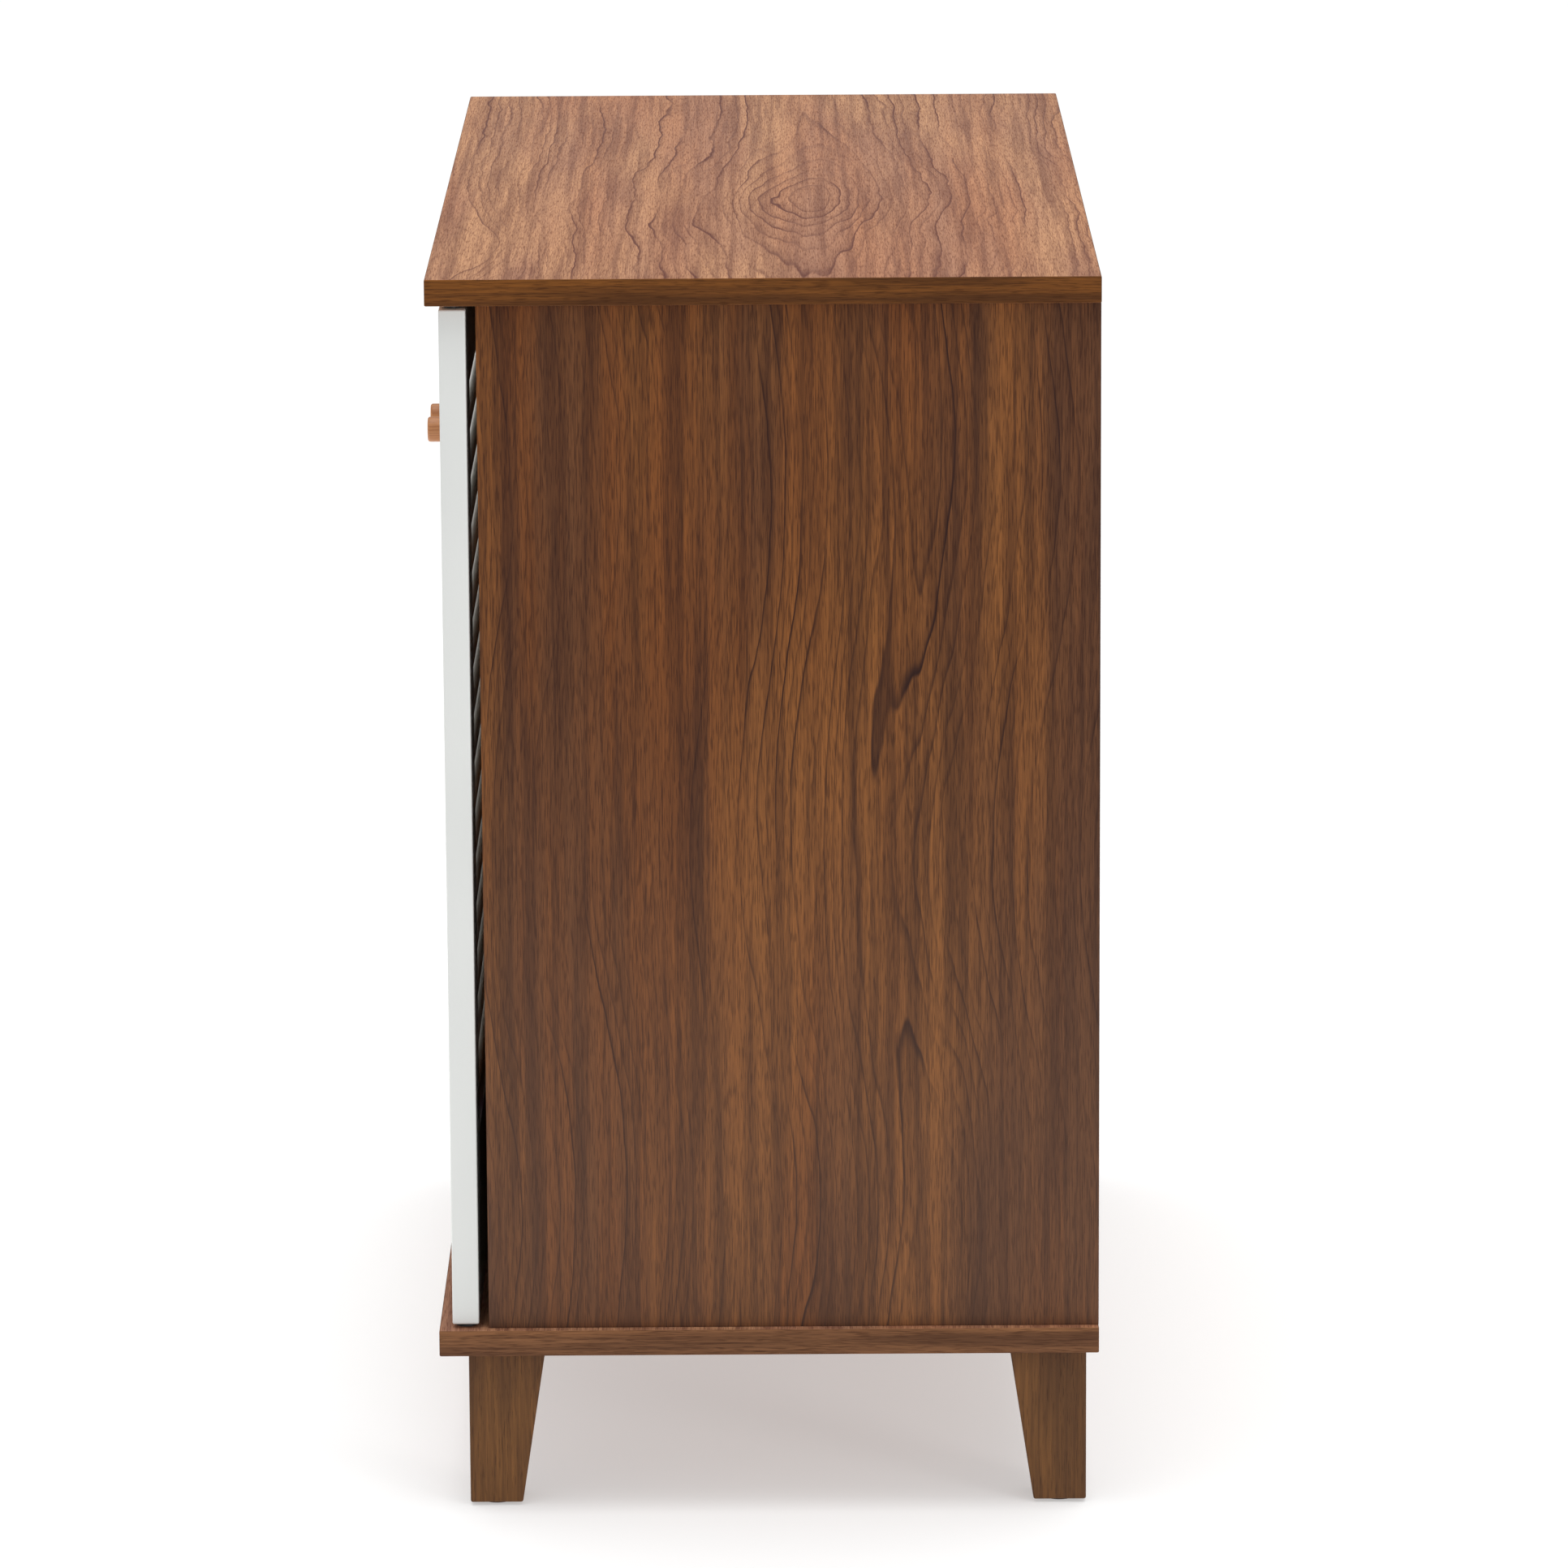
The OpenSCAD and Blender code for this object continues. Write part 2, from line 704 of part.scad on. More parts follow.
top_panel();
bottom_panel();
side_panel(LEFT);  // left_side_panel
side_panel(RIGHT);  // right_side_panel
back_panel();
shelf(3);  // upper_shelf
shelf(2);  // middle_shelf
shelf(1);  // lower_shelf
shelf_pins();
leg(LEFT, FRONT);  // front_left_leg
leg(RIGHT, FRONT);  // front_right_leg
leg(LEFT, BACK);  // back_left_leg
leg(RIGHT, BACK);  // back_right_leg
leg_inserts();
leg_bolts();
leg_glides();
cam_locks();
cam_posts();
panel_dowels();
back_nails();
pivot_bushes();
catch_housing();
catch_magnets();
catch_screws();
hinge_stile(LEFT);  // left_hinge_stile
meeting_stile(LEFT);  // left_meeting_stile
rail(LEFT, louvre_z1, door_z1);  // left_top_rail
rail(LEFT, door_z0, louvre_z0);  // left_bottom_rail
slats(LEFT);  // left_slats
rail_dowels(LEFT);  // left_rail_dowels
pivot_pins(LEFT);  // left_pivot_pins
knob(LEFT);  // left_knob
knob_screw(LEFT);  // left_knob_screw
strike_plate(LEFT);  // left_strike_plate
strike_screw(LEFT);  // left_strike_screw
hinge_stile(RIGHT);  // right_hinge_stile
meeting_stile(RIGHT);  // right_meeting_stile
rail(RIGHT, louvre_z1, door_z1);  // right_top_rail
rail(RIGHT, door_z0, louvre_z0);  // right_bottom_rail
slats(RIGHT);  // right_slats
rail_dowels(RIGHT);  // right_rail_dowels
pivot_pins(RIGHT);  // right_pivot_pins
knob(RIGHT);  // right_knob
knob_screw(RIGHT);  // right_knob_screw
strike_plate(RIGHT);  // right_strike_plate
strike_screw(RIGHT);  // right_strike_screw
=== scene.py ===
# Shoe cabinet with louvred doors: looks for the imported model. Metres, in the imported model's own frame.
import math

import bpy
from mathutils import Euler, Matrix, Vector


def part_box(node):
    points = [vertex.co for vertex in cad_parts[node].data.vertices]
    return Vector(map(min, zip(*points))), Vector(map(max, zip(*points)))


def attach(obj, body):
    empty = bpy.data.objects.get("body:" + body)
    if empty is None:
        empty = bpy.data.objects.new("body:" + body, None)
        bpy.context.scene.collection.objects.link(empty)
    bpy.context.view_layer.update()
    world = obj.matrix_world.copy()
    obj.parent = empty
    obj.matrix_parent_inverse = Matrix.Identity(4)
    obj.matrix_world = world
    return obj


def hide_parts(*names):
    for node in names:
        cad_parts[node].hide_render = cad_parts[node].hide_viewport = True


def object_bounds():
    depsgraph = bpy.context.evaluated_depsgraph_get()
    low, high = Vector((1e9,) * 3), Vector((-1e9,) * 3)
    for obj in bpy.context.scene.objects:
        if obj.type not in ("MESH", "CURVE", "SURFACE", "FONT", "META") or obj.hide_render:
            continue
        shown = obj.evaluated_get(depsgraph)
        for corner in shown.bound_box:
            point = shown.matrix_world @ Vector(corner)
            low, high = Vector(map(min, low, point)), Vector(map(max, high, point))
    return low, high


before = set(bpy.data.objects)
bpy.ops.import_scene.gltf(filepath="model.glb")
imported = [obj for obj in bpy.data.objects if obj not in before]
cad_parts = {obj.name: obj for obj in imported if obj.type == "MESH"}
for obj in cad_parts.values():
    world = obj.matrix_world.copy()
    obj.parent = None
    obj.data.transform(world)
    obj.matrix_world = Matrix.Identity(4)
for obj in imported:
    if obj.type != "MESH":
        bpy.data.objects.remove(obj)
cad_low, cad_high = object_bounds()

# ---------------------------------------------------------------- camera
# A long lens looks along the cabinet's width from its right-hand side, a little down on the top.
FOCAL_LENGTH = 192.31
SENSOR_WIDTH = 36
CAMERA_DISTANCE = 4.8924
CAMERA_BEHIND_FRONT = 0.2064
CAMERA_ABOVE_TOP = 0.7724
LOOK_DOWN = math.radians(12.440)
LOOK_ASIDE = math.radians(0.051)
CAMERA_LEAN = math.radians(0.332)
right_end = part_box("right_side_panel")[1].x
front_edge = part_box("top_panel")[0].y
eye_height = cad_high.z + CAMERA_ABOVE_TOP
stand = Vector((right_end + CAMERA_DISTANCE, front_edge + CAMERA_BEHIND_FRONT, eye_height))
lens = bpy.data.cameras.new("camera")
lens.lens = FOCAL_LENGTH
lens.sensor_width = SENSOR_WIDTH
lens.clip_end = 200
camera = bpy.data.objects.new("camera", lens)
bpy.context.scene.collection.objects.link(camera)
level = Euler((math.pi / 2, 0, math.pi / 2)).to_matrix().to_4x4()
tilt = Matrix.Rotation(-LOOK_DOWN, 4, "X") @ Matrix.Rotation(-LOOK_ASIDE, 4, "Y")
lean = Matrix.Rotation(-CAMERA_LEAN, 4, "Z")
camera.matrix_world = Matrix.Translation(stand) @ level @ tilt @ lean
bpy.context.scene.camera = camera

# ---------------------------------------------------------------- top panel
# A board faced with figured walnut veneer, the grain along the cabinet's width. All four edges are
# covered with straight-grained walnut band and eased by hand. The back edge has a rebate for the back.


class Shade:
    """One output among a material's nodes. Ordinary arithmetic on it adds Math nodes."""

    def __init__(self, tree, socket):
        self.tree = tree
        self.socket = socket

    def node(self, kind, settings=None, inputs=None, output=0):
        """Adds a node: first its settings or a ramp's stops, then its sockets' values and links."""
        made = self.tree.nodes.new(kind)
        for key, value in (settings or {}).items():
            if key == "stops":
                ramp = made.color_ramp
                ramp.interpolation = "EASE"
                while len(ramp.elements) < len(value):
                    ramp.elements.new(0.5)
                for element, (position, grey) in zip(ramp.elements, value):
                    element.position = position
                    element.color = (grey, grey, grey, 1)
            else:
                setattr(made, key, value)
        for key, value in (inputs or {}).items():
            if isinstance(value, Shade):
                self.tree.links.new(value.socket, made.inputs[key])
            else:
                made.inputs[key].default_value = value
        return Shade(self.tree, made.outputs[output]) if made.outputs else None

    def maths(self, operation, *values):
        return self.node("ShaderNodeMath", {"operation": operation}, dict(enumerate(values)))

    def __add__(self, other):
        return self.maths("ADD", self, other)

    def __radd__(self, other):
        return self.maths("ADD", other, self)

    def __sub__(self, other):
        return self.maths("SUBTRACT", self, other)

    def __rsub__(self, other):
        return self.maths("SUBTRACT", other, self)

    def __mul__(self, other):
        return self.maths("MULTIPLY", self, other)

    def __rmul__(self, other):
        return self.maths("MULTIPLY", other, self)

    def __truediv__(self, other):
        return self.maths("DIVIDE", self, other)

    def __pow__(self, other):
        return self.maths("POWER", self, other)

    def apply(self, function):
        return self.maths(function, self)

    def ramp(self, *stops):
        return self.node("ShaderNodeValToRGB", {"stops": stops}, {0: self})

    def noise(self, scale, detail=2.0, seed=0.0, crumble=0.5):
        """Noise on a point, stretched by a scale for each axis. The seed moves it to another place."""
        shift = (seed, seed * 0.7, seed * 1.3)
        spread = self.node("ShaderNodeVectorMath", {"operation": "MULTIPLY"}, {0: self, 1: scale})
        moved = self.node("ShaderNodeVectorMath", {"operation": "ADD"}, {0: spread, 1: shift})
        inputs = {"Vector": moved, "Scale": 1.0, "Detail": detail, "Roughness": crumble}
        return self.node("ShaderNodeTexNoise", {}, inputs)

    def blend(self, low, high):
        """Goes from one colour to another as this value goes from 0 to 1."""
        colours = {0: self, 6: low, 7: high}
        return self.node("ShaderNodeMix", {"data_type": "RGBA"}, colours, output=2)


def rgb(red, green, blue):
    return (red, green, blue, 1.0)


def new_material(name):
    """A material with no nodes yet but its place on the object."""
    material = bpy.data.materials.new(name)
    material.use_nodes = True
    material.node_tree.nodes.clear()
    place = material.node_tree.nodes.new("ShaderNodeTexCoord")
    return material, Shade(material.node_tree, place.outputs["Object"])


def surface(place, colour, roughness, relief=None, depth=0.0002, **fixed):
    """Closes a material: the shader, with its even settings on its own sockets, and the relief."""
    inputs = {"Base Color": colour, "Roughness": roughness}
    inputs.update({key.replace("_", " "): value for key, value in fixed.items()})
    if relief is not None:
        bump = {"Height": relief, "Strength": 1.0, "Distance": depth}
        inputs["Normal"] = place.node("ShaderNodeBump", {}, bump)
    shader = place.node("ShaderNodeBsdfPrincipled", {}, inputs)
    place.node("ShaderNodeOutputMaterial", {}, {"Surface": shader})


def wood_place(place, grain):
    """The place with X along the grain, then the distances along the grain and across it."""
    axes = place.node("ShaderNodeSeparateXYZ", {}, {0: place}).socket.node.outputs
    x, y, z = [Shade(place.tree, axis) for axis in axes]
    along, across, through = {"X": (x, y, z), "Y": (y, z, x), "Z": (z, y, x)}[grain]
    point = place.node("ShaderNodeCombineXYZ", {}, {0: along, 1: across, 2: through})
    return point, along, across + through


def walnut(name, grain, seed, tones, ring=0.0065, figure=None, waves=0.010, line=0.8, painted_sheen=0.0):
    """Walnut veneer with a pale, a warm, a grey and a dark tone.

    The figure bends the year rings, which wander by about the waves. Line is the strength of the dark
    late wood. The last setting greys the lower end with a pale grey brown: painted sheen, the white
    floor's reflection.
    """
    pale, warm, grey, dark = tones
    material, place = new_material(name)
    point, along, across = wood_place(place, grain)
    slow = point.noise((1.8, 7.0, 7.0), 2, seed) - 0.5
    quick = point.noise((8.0, 16.0, 16.0), 3, seed + 3) - 0.5
    bent = across + slow * waves * 4 + quick * waves * 1.8
    uneven = point.noise((1.0, 34.0, 34.0), 2, seed + 5) - 0.5
    rings = (figure(along, bent, ring) if figure else bent / ring) + uneven * 3.0
    year = rings.apply("FLOOR")
    strong = place.node("ShaderNodeTexWhiteNoise", {"noise_dimensions": "1D"}, {"W": year + seed})
    late = rings.apply("FRACT").ramp((0.0, 0.0), (0.35, 0.04), (0.72, 0.25), (0.94, 1.0), (1.0, 0.2))
    patch = point.noise((4.0, 30.0, 30.0), 3, seed + 7).ramp((0.36, 0.25), (0.64, 1.0))
    bands = point.noise((0.8, 18.0, 18.0), 4, seed + 11, 0.6).ramp((0.38, 0.0), (0.62, 1.0))
    glow = point.noise((1.4, 14.0, 14.0), 3, seed + 17).ramp((0.42, 0.0), (0.66, 1.0))
    streaks = point.noise((3.0, 120.0, 120.0), 6, seed + 19, 0.72).ramp((0.40, 0.0), (0.64, 1.0))
    flecks = point.noise((85.0, 1500.0, 1500.0), 1, seed + 29).ramp((0.50, 0.0), (0.66, 1.0))
    fibre = point.noise((26.0, 900.0, 900.0), 3, seed + 23, 0.7)
    colour = bands.blend(warm, grey)
    colour = (glow * 0.8).blend(colour, pale)
    colour = (late * strong * patch * line).blend(colour, dark)
    colour = (streaks * 0.58).blend(colour, dark)
    colour = (fibre.ramp((0.36, 0.0), (0.64, 1.0)) * 0.32).blend(colour, dark)
    colour = (flecks * 0.50).blend(colour, dark)
    # Painted sheen: the lower end is greyed as if it reflected the white floor.
    if painted_sheen:
        lower_end_sheen = (along * 1.25).ramp((0.20, 1.0), (0.72, 0.0))
        sheen_grey = rgb(0.46, 0.30, 0.22)
        colour = (lower_end_sheen * painted_sheen).blend(colour, sheen_grey)
    relief = fibre * 0.4 - flecks * 0.5
    surface(place, colour, 0.52 + flecks * 0.2 + fibre * 0.08, relief, 0.00008, Specular_IOR_Level=0.10)
    return material


def flame(beside, depth, ring):
    """Year rings of a board sawn past the middle of the trunk, as deep below the face as given."""
    return (beside ** 2 + depth ** 2) ** 0.5 / ring


# The closed eye and the half eye in front of it: where they lie, how deep or wide, and how steep.
EYE_ALONG = 0.084
EYE_ACROSS = 0.792
EYE_DEPTH = 0.048
EYE_STEEPNESS = 5.0
HALF_EYE_ALONG = 0.27
HALF_EYE_ACROSS = 0.600
HALF_EYE_LENGTH = 0.13
HALF_EYE_WIDTH = 0.045
HALF_EYE_RINGS = 5.0


def eye(along, across, ring):
    """Year rings of the top: long lines that part round a closed eye, and half an eye in front."""
    depth = ((along - EYE_ALONG) * EYE_STEEPNESS).apply("TANH") * EYE_DEPTH
    from_middle = ((along - HALF_EYE_ALONG) / HALF_EYE_LENGTH) ** 2
    half_eye = from_middle + ((across - HALF_EYE_ACROSS) / HALF_EYE_WIDTH) ** 2
    hill = (half_eye * -1).apply("EXPONENT") * HALF_EYE_RINGS
    return flame(across - EYE_ACROSS, depth, ring) + hill


TOP_TONES = (
    rgb(0.520, 0.275, 0.140), rgb(0.425, 0.195, 0.100), rgb(0.350, 0.175, 0.105), rgb(0.110, 0.038, 0.026))
BAND_TONES = (
    rgb(0.240, 0.084, 0.014), rgb(0.182, 0.057, 0.010), rgb(0.132, 0.046, 0.011), rgb(0.036, 0.012, 0.004))
top_veneer = walnut("walnut_top", "X", 4.0, TOP_TONES, ring=0.0064, figure=eye, waves=0.013, line=1.5)
band_across = walnut("walnut_band_across", "Y", 21.0, BAND_TONES, ring=0.004, waves=0.004, line=0.6)
band_along = walnut("walnut_band_along", "X", 33.0, BAND_TONES, ring=0.004, waves=0.002, line=0.4)


SMOOTH_ANGLE = math.radians(35)
BOARD_EASE = 0.0009


def nothing_selected():
    if bpy.context.mode != "OBJECT":
        bpy.ops.object.mode_set(mode="OBJECT")
    bpy.ops.object.select_all(action="DESELECT")


def settle(name):
    """Names the new object and puts its place into its mesh."""
    piece = bpy.context.object
    piece.name = name
    bpy.ops.object.transform_apply(location=True, rotation=True, scale=True)
    return piece


def choose(piece, kind, test):
    """Selects, in edit mode, the edges, faces or corners that pass a test on their places."""
    bpy.ops.object.mode_set(mode="EDIT")
    bpy.ops.mesh.select_mode(type=kind)
    bpy.ops.mesh.select_all(action="DESELECT")
    bpy.ops.object.mode_set(mode="OBJECT")
    mesh = piece.data
    parts = {"VERT": mesh.vertices, "EDGE": mesh.edges, "FACE": mesh.polygons}[kind]
    for part in parts:
        corners = [part.co] if kind == "VERT" else [mesh.vertices[i].co for i in part.vertices]
        part.select = test(corners)
    bpy.ops.object.mode_set(mode="EDIT")


def board(name, low, high, ease, test=lambda corners: True, steps=3):
    """A board between two corners. The edges that pass the test are eased in a few steps."""
    nothing_selected()
    middle = (Vector(low) + Vector(high)) / 2
    bpy.ops.mesh.primitive_cube_add(size=1, location=middle, scale=Vector(high) - Vector(low))
    piece = settle(name)
    if ease:
        choose(piece, "EDGE", test)
        bpy.ops.mesh.bevel(offset=ease, segments=steps, affect="EDGES")
        bpy.ops.object.mode_set(mode="OBJECT")
    bpy.ops.object.shade_smooth_by_angle(angle=SMOOTH_ANGLE)
    return piece


def cut(piece, cutter):
    """Cuts one object out of another and throws the cutter away."""
    nothing_selected()
    bpy.context.view_layer.objects.active = piece
    piece.select_set(True)
    saw = piece.modifiers.new("saw", "BOOLEAN")
    saw.operation = "DIFFERENCE"
    saw.solver = "EXACT"
    saw.object = cutter
    bpy.ops.object.modifier_apply(modifier="saw")
    bpy.data.objects.remove(cutter)
    bpy.ops.object.shade_smooth_by_angle(angle=SMOOTH_ANGLE)


def veneer(piece, *layers):
    """Gives each face the first material whose test on the face's normal it passes."""
    for material, test in layers:
        piece.data.materials.append(material)
    for face in piece.data.polygons:
        face.material_index = next(i for i, (material, test) in enumerate(layers) if test(face.normal))


def flat_up(normal):
    return abs(normal.z) > 0.75


def flat_front(normal):
    return abs(normal.y) > 0.6


def anywhere(normal):
    return True


REBATE_PLAY = 0.0005
PAST_THE_BACK = 0.01
back_low, back_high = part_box("back_panel")


def rebate():
    """The space that the back, with a little play round it, takes out of the panels."""
    nothing_selected()
    low = Vector((-back_high.x - REBATE_PLAY, back_low.y, back_low.z - REBATE_PLAY))
    high = Vector((back_high.x + REBATE_PLAY, cad_high.y + PAST_THE_BACK, back_high.z + REBATE_PLAY))
    bpy.ops.mesh.primitive_cube_add(size=1, location=(low + high) / 2, scale=high - low)
    return settle("rebate")


top = board("top_board", *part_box("top_panel"), ease=BOARD_EASE)
cut(top, rebate())
veneer(top, (top_veneer, flat_up), (band_along, flat_front), (band_across, anywhere))
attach(top, "carcass")
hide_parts("top_panel")

# ---------------------------------------------------------------- bottom panel
# A board like the top, in veneer of the same tones but a plain figure. Its ends take a lighter, greyer
# copy of the edge band: painted sheen from the floor. The legs are screwed to its underside.
bottom_veneer = walnut("walnut_bottom", "X", 8.0, TOP_TONES, ring=0.0075, waves=0.012, line=0.5)
# Lighter, greyer copies of the band tones: painted sheen from the floor near the bottom.
SHEEN_BAND_TONES = (
    rgb(0.300, 0.135, 0.056), rgb(0.232, 0.096, 0.040), rgb(0.168, 0.076, 0.038), rgb(0.046, 0.018, 0.010))
sheen_band = walnut("walnut_sheen_band", "Y", 52.0, SHEEN_BAND_TONES, ring=0.005, waves=0.003, line=0.5)
bottom = board("bottom_board", *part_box("bottom_panel"), ease=BOARD_EASE)
cut(bottom, rebate())
veneer(bottom, (bottom_veneer, flat_up), (band_along, flat_front), (sheen_band, anywhere))
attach(bottom, "carcass")
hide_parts("bottom_panel")

# ---------------------------------------------------------------- side panels
# Boards with upright walnut grain, a little inside the ends of the top and bottom. Their inner faces
# are drilled with rows of holes for the shelf pins and with seats for the cam locks.


SIDE_TONES = (
    rgb(0.275, 0.104, 0.028), rgb(0.200, 0.067, 0.019), rgb(0.134, 0.054, 0.023), rgb(0.026, 0.010, 0.008))
# The tip of the V over its arch: where it stands, how deep in the trunk, and how the lines sway.
CROWN_HEIGHT = 0.400
CROWN_ACROSS = 0.484
CROWN_DEPTH = 0.030
CROWN_FALL = 0.062
CROWN_ROUND = 0.04
SWAY_START = 0.10
SWAY_TURN = 14.0
SWAY_WIDTH = 0.012


def cathedral(along, across, ring):
    """Year rings of a side: straight at the front, and towards the back a V that stands on an arch."""
    height = along - CROWN_HEIGHT
    depth = CROWN_DEPTH - CROWN_FALL * (height ** 2 + CROWN_ROUND ** 2) ** 0.5
    sway = ((height + SWAY_START) * SWAY_TURN).apply("SINE") * SWAY_WIDTH
    return flame(across - CROWN_ACROSS + sway, depth, ring)


# The lower end of the sides carries painted sheen from the floor.
side_veneer = walnut(
    "walnut_side", "Z", 2.0, SIDE_TONES, ring=0.0050, figure=cathedral, waves=0.006, line=1.1, painted_sheen=0.075)
PIN_RADIUS = 0.00255
PIN_DEPTH = 0.010
PIN_BELOW_SHELF = 0.0045
PIN_SPACING = 0.032
PIN_FROM_FRONT = 0.050
PIN_FROM_BACK = 0.045
CAM_RADIUS = 0.00755
CAM_DEPTH = 0.0125
CAM_FROM_EDGE = 0.055
CAM_FROM_END = 0.034
DRILL_START = 0.002
side_low, side_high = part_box("right_side_panel")
shelves = [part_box(name) for name in ("lower_shelf", "middle_shelf", "upper_shelf")]
pin_rows = (side_low.y + PIN_FROM_FRONT, back_low.y - PIN_FROM_BACK)
pin_steps = (-PIN_SPACING, 0, PIN_SPACING)
pin_heights = [low.z - PIN_BELOW_SHELF + step for low, high in shelves for step in pin_steps]
cam_rows = (side_low.y + CAM_FROM_EDGE, side_high.y - CAM_FROM_EDGE)
cam_heights = (side_low.z + CAM_FROM_END, side_high.z - CAM_FROM_END)


def drills(inner_x, side):
    """All the holes of one side's inner face, as one cutter that starts a little inside the cabinet."""
    nothing_selected()
    bits = []
    holes = [(PIN_RADIUS, PIN_DEPTH, y, z) for y in pin_rows for z in pin_heights]
    holes += [(CAM_RADIUS, CAM_DEPTH, y, z) for y in cam_rows for z in cam_heights]
    for radius, depth, y, z in holes:
        middle = (inner_x + side * (depth - DRILL_START) / 2, y, z)
        bpy.ops.mesh.primitive_cylinder_add(
            vertices=32, radius=radius, depth=depth + DRILL_START, location=middle,
            rotation=(0, math.pi / 2, 0))
        bits.append(settle("drill"))
    for bit in bits:
        bit.select_set(True)
    bpy.ops.object.join()
    return bpy.context.object


for side, name in ((-1, "left"), (1, "right")):
    low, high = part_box(name + "_side_panel")
    panel = board(name + "_side_board", low, high, ease=0.0005, steps=2)
    cut(panel, rebate())
    cut(panel, drills(low.x if side > 0 else high.x, side))
    veneer(panel, (side_veneer, anywhere))
    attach(panel, "carcass")
    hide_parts(name + "_side_panel")

# ---------------------------------------------------------------- back
# A hardboard sheet, nailed into the rebate. Its inner face is printed walnut, its outer face and its
# edges are bare brown fibre.
board_material, place = new_material("hardboard")
mottle = place.noise((300.0, 300.0, 300.0), 3, 5.0)
weave = place.noise((900.0, 900.0, 900.0), 2, 9.0)
cloud = place.noise((5.0, 5.0, 5.0), 2, 2.0).ramp((0.35, 0.0), (0.65, 1.0))
brown = (mottle * 0.75 + cloud * 0.2).blend(rgb(0.23, 0.135, 0.072), rgb(0.33, 0.205, 0.115))
surface(place, brown, 0.75 + weave * 0.15, weave * 0.5 + mottle * 0.5, 0.0003, Specular_IOR_Level=0.25)
foil = walnut("walnut_foil", "X", 15.0, SIDE_TONES, ring=0.008, waves=0.008, line=0.5)
sheet = board("back_sheet", *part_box("back_panel"), ease=0.0003, steps=2)
veneer(sheet, (foil, lambda normal: normal.y < -0.6), (board_material, anywhere))
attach(sheet, "carcass")
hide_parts("back_panel")

# ---------------------------------------------------------------- shelves
# Thin boards in walnut foil, with walnut band on all four edges, slightly eased. They rest on their
# pins without being fastened.
for (low, high), name in zip(shelves, ("lower_shelf", "middle_shelf", "upper_shelf")):
    shelf = board(name + "_board", low, high, ease=0.0006)
    veneer(shelf, (foil, flat_up), (band_along, flat_front), (band_across, anywhere))
    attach(shelf, "carcass")
    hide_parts(name)

# ---------------------------------------------------------------- steel and zinc fittings
# Bright zinc-plated pins, posts, bolts, screws and nails, dull die-cast cam locks, and bronzed pivot
# pins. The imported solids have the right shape, so they stay and only take a finish.


def plated(name, bright, shade, rough):
    material, place = new_material(name)
    cloud = place.noise((90.0, 90.0, 90.0), 2, 3.0)
    scratch = place.noise((900.0, 900.0, 60.0), 2, 6.0)
    colour = cloud.blend(rgb(*bright), rgb(*shade))
    surface(place, colour, rough + scratch * 0.18, scratch, 0.00004, Metallic=1.0)
    return material


def finish_nodes(material, *names):
    for name in names:
        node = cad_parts[name]
        node.data.materials.clear()
        node.data.materials.append(material)


zinc_plate = plated("zinc_plate", (0.66, 0.67, 0.68), (0.55, 0.56, 0.58), 0.25)
cast_zinc = plated("cast_zinc", (0.50, 0.50, 0.52), (0.38, 0.38, 0.40), 0.42)
finish_nodes(zinc_plate, "shelf_pins", "leg_inserts", "leg_bolts", "cam_posts", "back_nails", "catch_screws")
finish_nodes(cast_zinc, "cam_locks")
bronzed = plated("bronzed_plate", (0.085, 0.072, 0.058), (0.055, 0.047, 0.040), 0.34)
finish_nodes(bronzed, "left_pivot_pins", "right_pivot_pins")

# ---------------------------------------------------------------- dowels
# Plain beech dowels, glued into the panels and the door rails. They are hidden once the cabinet is
# together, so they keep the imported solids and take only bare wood.
beech, place = new_material("beech")
point = wood_place(place, "X")[0]
fibre = point.noise((60.0, 700.0, 700.0), 2, 1.0)
surface(place, fibre.blend(rgb(0.56, 0.38, 0.23), rgb(0.68, 0.50, 0.33)), 0.55 + fibre * 0.1, fibre, 0.0001)
finish_nodes(beech, "panel_dowels", "left_rail_dowels", "right_rail_dowels")

# ---------------------------------------------------------------- legs
# Solid wood, square at the top and tapered on the two inner faces. Stained walnut and lacquered. The
# colour darkens a little towards the top: painted shade under the bottom panel.
leg_wood, place = new_material("stained_leg")
point, along, across = wood_place(place, "Z")
sway = point.noise((7.0, 40.0, 40.0), 2, 3.0) - 0.5
rings = (across + sway * 0.012) / 0.0055
late = rings.apply("FRACT").ramp((0.0, 0.3), (0.15, 0.0), (0.6, 0.2), (0.92, 1.0), (1.0, 0.3))
cloud = point.noise((9.0, 55.0, 55.0), 3, 12.0).ramp((0.35, 0.0), (0.66, 1.0))
fibre = point.noise((30.0, 900.0, 900.0), 2, 8.0).ramp((0.34, 0.0), (0.68, 1.0))
flecks = point.noise((90.0, 1500.0, 1500.0), 1, 2.0).ramp((0.58, 0.0), (0.72, 1.0))
# Painted shade: the top of each leg darkens under the bottom panel.
shade_under_panel = (along * 10).ramp((0.70, 0.0), (1.0, 1.0))
stain = cloud.blend(rgb(0.200, 0.088, 0.029), rgb(0.125, 0.056, 0.022))
stain = (late * 0.35).blend(stain, rgb(0.062, 0.028, 0.014))
stain = (fibre * 0.35).blend(stain, rgb(0.062, 0.028, 0.014))
stain = (flecks * 0.5 + shade_under_panel * 0.25).blend(stain, rgb(0.048, 0.022, 0.012))
surface(place, stain, 0.42 + flecks * 0.2, fibre * 0.4 - flecks * 0.5, 0.00012, Specular_IOR_Level=0.14)

